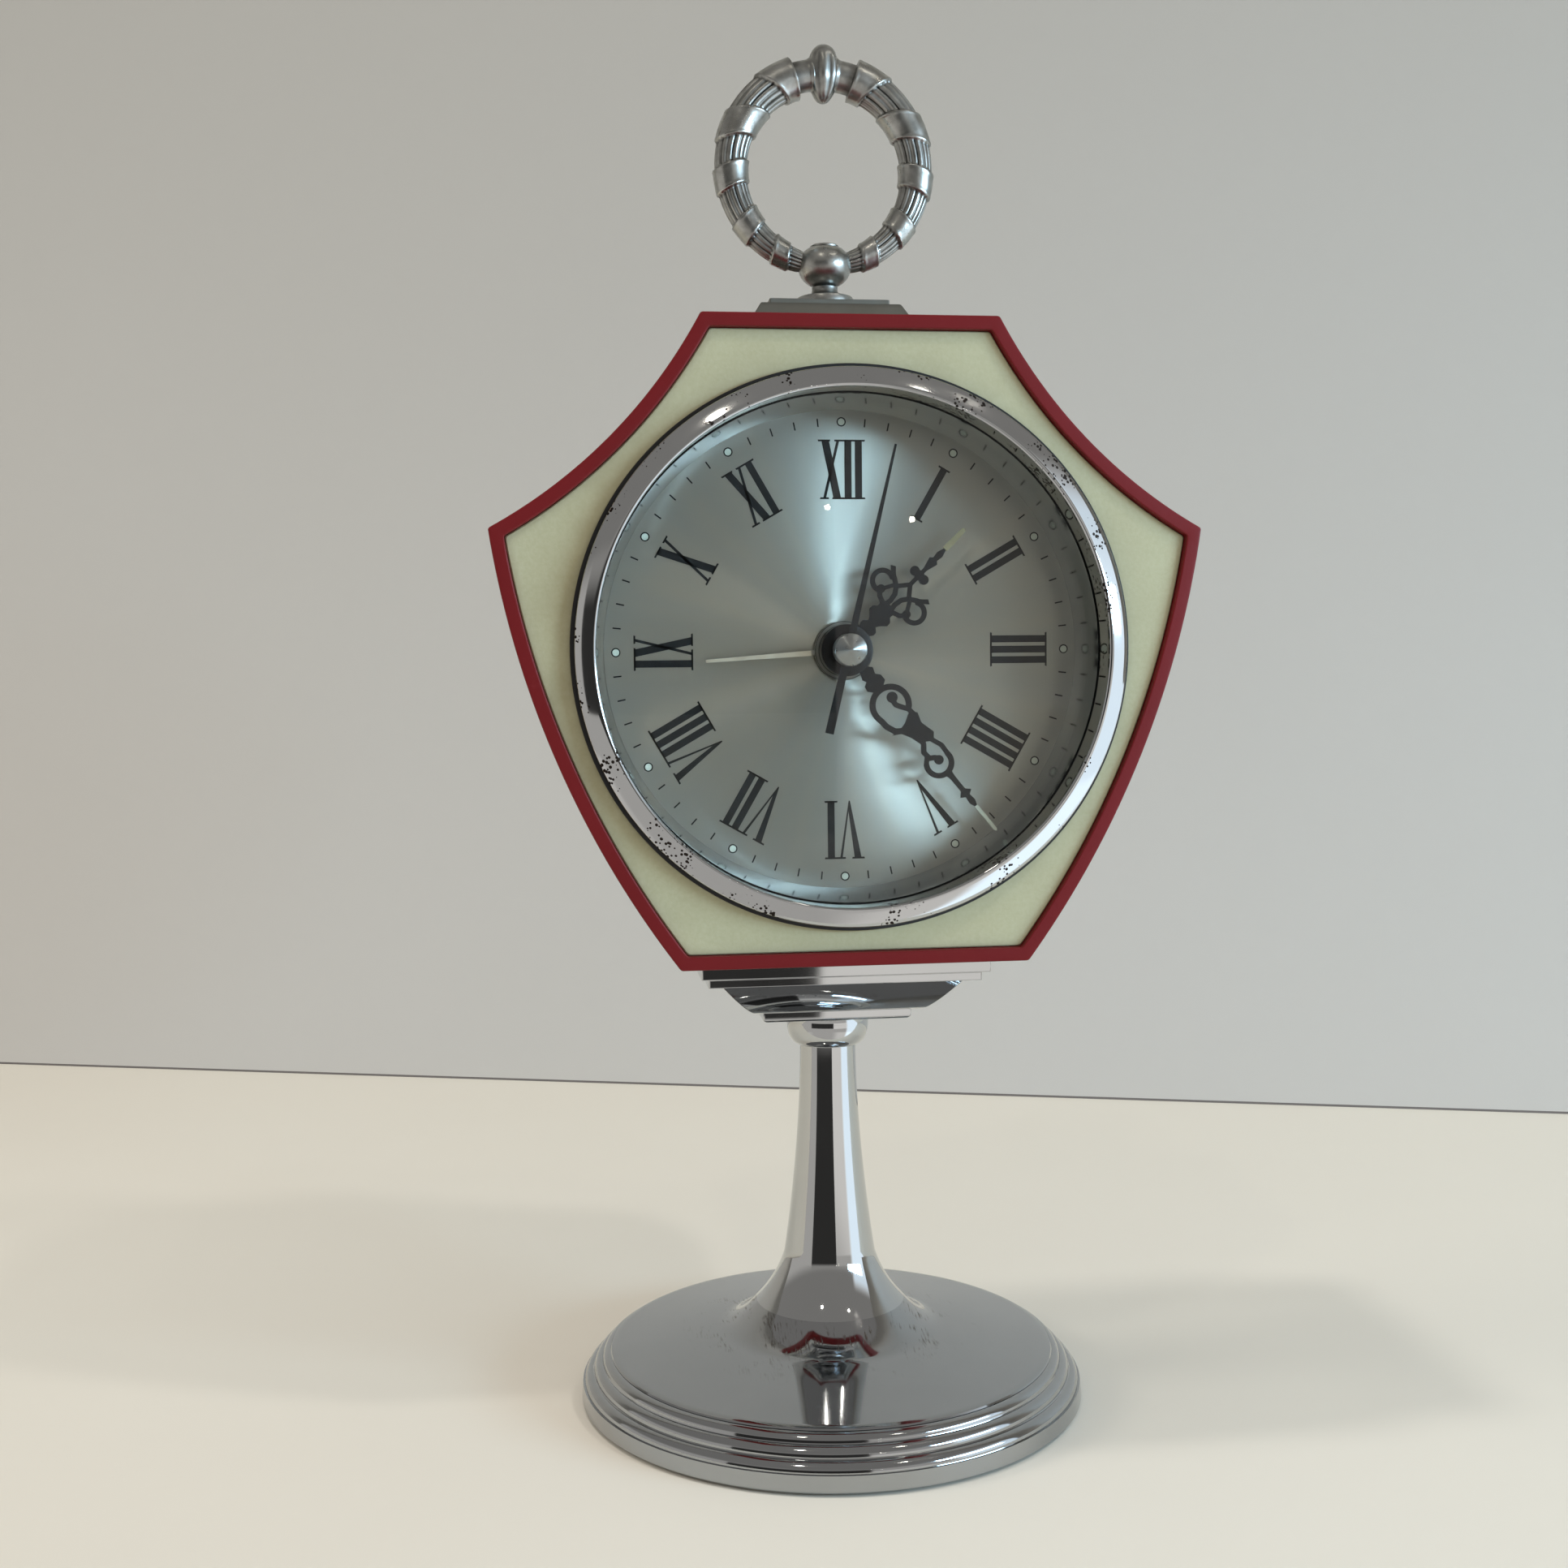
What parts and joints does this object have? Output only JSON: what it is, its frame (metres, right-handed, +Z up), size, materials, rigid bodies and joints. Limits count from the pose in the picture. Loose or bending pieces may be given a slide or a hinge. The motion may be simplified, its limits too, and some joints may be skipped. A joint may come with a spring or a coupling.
{
  "type": "mantel clock",
  "caption": "Pedestal mantel clock: six-cornered case with a round glazed dial on a flared stem and round base, carrying ring on top, wind-up alarm movement inside.",
  "frame": {"origin": "middle of the underside of the round base, on the surface it stands on", "axes": "+Z up, -Y out of the dial towards the viewer, +X to the viewer's right"},
  "size_m": [0.1382, 0.1082, 0.285],
  "materials": {
    "felt": "dark felt",
    "iron": "rough cast",
    "chrome": "polished chrome plate",
    "steel": "zinc plated",
    "red_shell": "deep crimson, slightly matte",
    "cream": "cream, satin",
    "black_rubber": "matt black",
    "acrylic": "clear acrylic",
    "mirror_ring": "satin silver reflector",
    "dial_silver": "silver sunburst brushing",
    "black_paint": "black enamel",
    "pale_gold": "pale gilt",
    "brass": "plain brass",
    "spring_steel": "blued steel",
    "pewter": "antique pewter"
  },
  "bodies": {
    "body": {"felt_pad": "felt", "base_weight": "iron", "base_shell": "chrome", "stem": "chrome", "stem_collar": "chrome", "tie_rod": "steel", "tie_rod_nuts": "steel", "tie_rod_washers": "steel", "plinth_foot": "chrome", "lower_plinth": "chrome", "plinth_screws": "steel", "case_shell": "red_shell", "face_panel": "cream", "bezel_gasket": "black_rubber", "bezel": "chrome", "crystal": "acrylic", "rehaut": "mirror_ring", "dial": "dial_silver", "dial_pan": "steel", "pan_screws": "steel", "front_plate": "brass", "back_plate": "brass", "movement_pillars": "brass", "pillar_nuts": "steel", "back_cover": "steel", "cover_screws": "steel", "top_plinth": "pewter", "finial": "pewter", "wreath_ring": "pewter"},
    "seconds": {"second_hand": "black_paint", "hub_cap": "chrome", "second_arbor": "steel"},
    "minutes": {"minute_hand": "black_paint", "minute_pipe": "brass"},
    "hours": {"hour_hand": "black_paint", "hour_wheel": "brass"},
    "motion_work": {"motion_wheel": "brass"},
    "hand_setting": {"hand_set_knob": "chrome"},
    "third": {"third_wheel": "brass"},
    "escape": {"escape_wheel": "brass"},
    "pallets": {"pallet_fork": "steel"},
    "balance": {"balance_wheel": "brass", "hairspring": "spring_steel"},
    "time_drum": {"time_barrel": "brass", "time_mainspring": "spring_steel"},
    "time_winder": {"time_winding_arbor": "steel", "time_key": "steel"},
    "time_pawl": {"time_click": "steel"},
    "alarm_pointer": {"alarm_hand": "pale_gold", "alarm_wheel": "brass"},
    "alarm_setting": {"alarm_set_knob": "chrome"},
    "alarm_drum": {"alarm_barrel": "brass", "alarm_mainspring": "spring_steel"},
    "alarm_winder": {"alarm_winding_arbor": "steel", "alarm_key": "steel"},
    "alarm_pawl": {"alarm_click": "steel"},
    "alarm_verge": {"alarm_verge_wheel": "brass"},
    "hammer": {"alarm_hammer": "steel"},
    "stop_plunger": {"alarm_stop": "red_shell"},
    "regulator_lever": {"regulator": "steel"}
  },
  "joints": [
    {"name": "second_turn", "type": "hinge", "parent": "body", "child": "seconds", "pos_m": [0, 0, 0.16004], "axis": [0, 1, 0], "continuous": true},
    {"name": "minute_turn", "type": "hinge", "parent": "body", "child": "minutes", "pos_m": [0, 0, 0.16004], "axis": [0, 1, 0], "continuous": true},
    {"name": "hour_turn", "type": "hinge", "parent": "body", "child": "hours", "pos_m": [0, 0, 0.16004], "axis": [0, 1, 0], "continuous": true},
    {"name": "motion_work_turn", "type": "hinge", "parent": "body", "child": "motion_work", "pos_m": [-0.0048, 0, 0.15364], "axis": [0, 1, 0], "continuous": true},
    {"name": "hand_set_turn", "type": "hinge", "parent": "body", "child": "hand_setting", "pos_m": [-0.00762, 0, 0.14669], "axis": [0, 1, 0], "continuous": true},
    {"name": "third_turn", "type": "hinge", "parent": "body", "child": "third", "pos_m": [-0.00743, 0, 0.16994], "axis": [0, 1, 0], "continuous": true},
    {"name": "escape_turn", "type": "hinge", "parent": "body", "child": "escape", "pos_m": [0.00695, 0, 0.16931], "axis": [0, 1, 0], "continuous": true},
    {"name": "pallet_rock", "type": "hinge", "parent": "body", "child": "pallets", "pos_m": [0.01415, 0, 0.17471], "axis": [0, 1, 0], "range_deg": [-5, 5]},
    {"name": "balance_swing", "type": "hinge", "parent": "body", "child": "balance", "pos_m": [0.02315, 0, 0.17471], "axis": [0, 1, 0], "range_deg": [-200, 200], "stiffness_Nm_per_rad": 0.00002},
    {"name": "time_drum_turn", "type": "hinge", "parent": "body", "child": "time_drum", "pos_m": [0.0144, 0, 0.14924], "axis": [0, 1, 0], "continuous": true},
    {"name": "time_wind", "type": "hinge", "parent": "body", "child": "time_winder", "pos_m": [0.0144, 0, 0.14924], "axis": [0, 1, 0], "continuous": true},
    {"name": "time_pawl_lift", "type": "hinge", "parent": "body", "child": "time_pawl", "pos_m": [0.0228, 0, 0.15224], "axis": [0, 1, 0], "range_deg": [-14, 0], "stiffness_Nm_per_rad": 0.0004},
    {"name": "alarm_hand_turn", "type": "hinge", "parent": "body", "child": "alarm_pointer", "pos_m": [0, 0, 0.16004], "axis": [0, 1, 0], "continuous": true},
    {"name": "alarm_set_turn", "type": "hinge", "parent": "body", "child": "alarm_setting", "pos_m": [-0.0122, 0, 0.15689], "axis": [0, 1, 0], "continuous": true},
    {"name": "alarm_drum_turn", "type": "hinge", "parent": "body", "child": "alarm_drum", "pos_m": [-0.023, 0, 0.14504], "axis": [0, 1, 0], "continuous": true},
    {"name": "alarm_wind", "type": "hinge", "parent": "body", "child": "alarm_winder", "pos_m": [-0.023, 0, 0.14504], "axis": [0, 1, 0], "continuous": true},
    {"name": "alarm_pawl_lift", "type": "hinge", "parent": "body", "child": "alarm_pawl", "pos_m": [-0.0314, 0, 0.14804], "axis": [0, 1, 0], "range_deg": [0, 14], "stiffness_Nm_per_rad": 0.0004},
    {"name": "alarm_verge_turn", "type": "hinge", "parent": "body", "child": "alarm_verge", "pos_m": [-0.026, 0, 0.15944], "axis": [0, 1, 0], "continuous": true},
    {"name": "hammer_swing", "type": "hinge", "parent": "body", "child": "hammer", "pos_m": [-0.026, 0, 0.16864], "axis": [0, 1, 0], "range_deg": [-6, 9], "stiffness_Nm_per_rad": 0.002},
    {"name": "alarm_stop_pull", "type": "slide", "parent": "body", "child": "stop_plunger", "axis": [0, 1, 0], "range_m": [0, 0.0035]},
    {"name": "regulator_turn", "type": "hinge", "parent": "body", "child": "regulator_lever", "pos_m": [0.02315, 0, 0.17471], "axis": [0, 1, 0], "range_deg": [-18, 18]}
  ],
  "couplings": [
    {"joint": "minute_turn", "follows": "second_turn", "ratio": 0.016667},
    {"joint": "hour_turn", "follows": "second_turn", "ratio": 0.0013889},
    {"joint": "motion_work_turn", "follows": "second_turn", "ratio": -0.0055556},
    {"joint": "hand_set_turn", "follows": "second_turn", "ratio": 0.022222},
    {"joint": "third_turn", "follows": "second_turn", "ratio": -0.13333},
    {"joint": "escape_turn", "follows": "second_turn", "ratio": -8},
    {"joint": "time_drum_turn", "follows": "second_turn", "ratio": -0.002381},
    {"joint": "alarm_set_turn", "follows": "alarm_hand_turn", "ratio": -5},
    {"joint": "alarm_verge_turn", "follows": "alarm_drum_turn", "ratio": -6}
  ]
}
